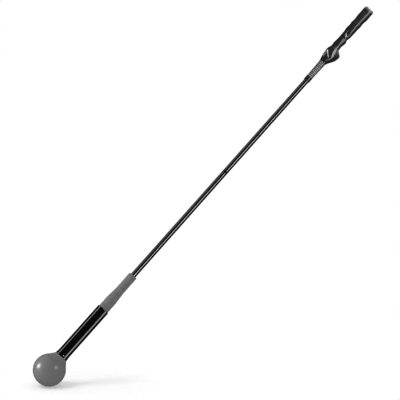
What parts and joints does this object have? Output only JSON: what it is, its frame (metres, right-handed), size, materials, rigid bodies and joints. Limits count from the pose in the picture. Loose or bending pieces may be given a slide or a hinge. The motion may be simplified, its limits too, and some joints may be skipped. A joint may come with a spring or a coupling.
{
  "type": "swing trainer stick",
  "caption": "Golf swing trainer: grey rubber ball on a short weighted tube, tapered rubber sleeve, thin flexible rod, and a moulded training grip with ribbed neck and thumb lobe.",
  "frame": {"origin": "lowest point of the ball, on the stick's axis", "axes": "+Z along the stick from the ball to the butt of the grip; +X the way the grip's thumb lobe points; the stick stands on its ball"},
  "size_m": [0.078, 0.078, 1.219],
  "materials": {
    "ball_rubber": "satin grey moulded rubber",
    "sleeve_rubber": "matte grey moulded rubber",
    "grip_rubber": "satin black moulded rubber",
    "cap_rubber": "satin black hard rubber",
    "tube_paint": "gloss black paint",
    "rod_gloss": "gloss black glass-fibre rod",
    "steel": "turned",
    "alloy": "turned",
    "foam": "closed-cell foam",
    "nylon": "natural nylon",
    "tape": "double-sided cloth tape"
  },
  "bodies": {
    "handle": {"grip": "grip_rubber", "grip_core_tube": "alloy", "core_cross_pin": "steel", "grip_tape": "tape", "butt_plug": "nylon", "butt_cap": "cap_rubber"},
    "shaft": {"shaft": "rod_gloss"},
    "head": {"ball_cover": "ball_rubber", "ball_core": "steel", "head_stud": "steel", "lower_end_plug": "alloy", "stud_lock_pin": "steel", "weight_tube": "tube_paint", "lower_damping_pad": "foam", "weight_bar": "steel", "upper_damping_pad": "foam", "shaft_socket": "alloy", "socket_cross_pin": "steel", "taper_sleeve": "sleeve_rubber"}
  },
  "joints": [
    {"name": "upper_flex", "type": "hinge", "parent": "handle", "child": "shaft", "pos_m": [0, 0, 0.8303], "axis": [0, 1, 0], "range_deg": [-16, 16], "stiffness_Nm_per_rad": 180, "deforming": ["shaft"]},
    {"name": "lower_flex", "type": "hinge", "parent": "shaft", "child": "head", "pos_m": [0, 0, 0.5198], "axis": [0, 1, 0], "range_deg": [-8.8, 8.8], "stiffness_Nm_per_rad": 180, "deforming": ["shaft"]}
  ],
  "couplings": [
    {"joint": "lower_flex", "follows": "upper_flex", "ratio": 0.55}
  ]
}
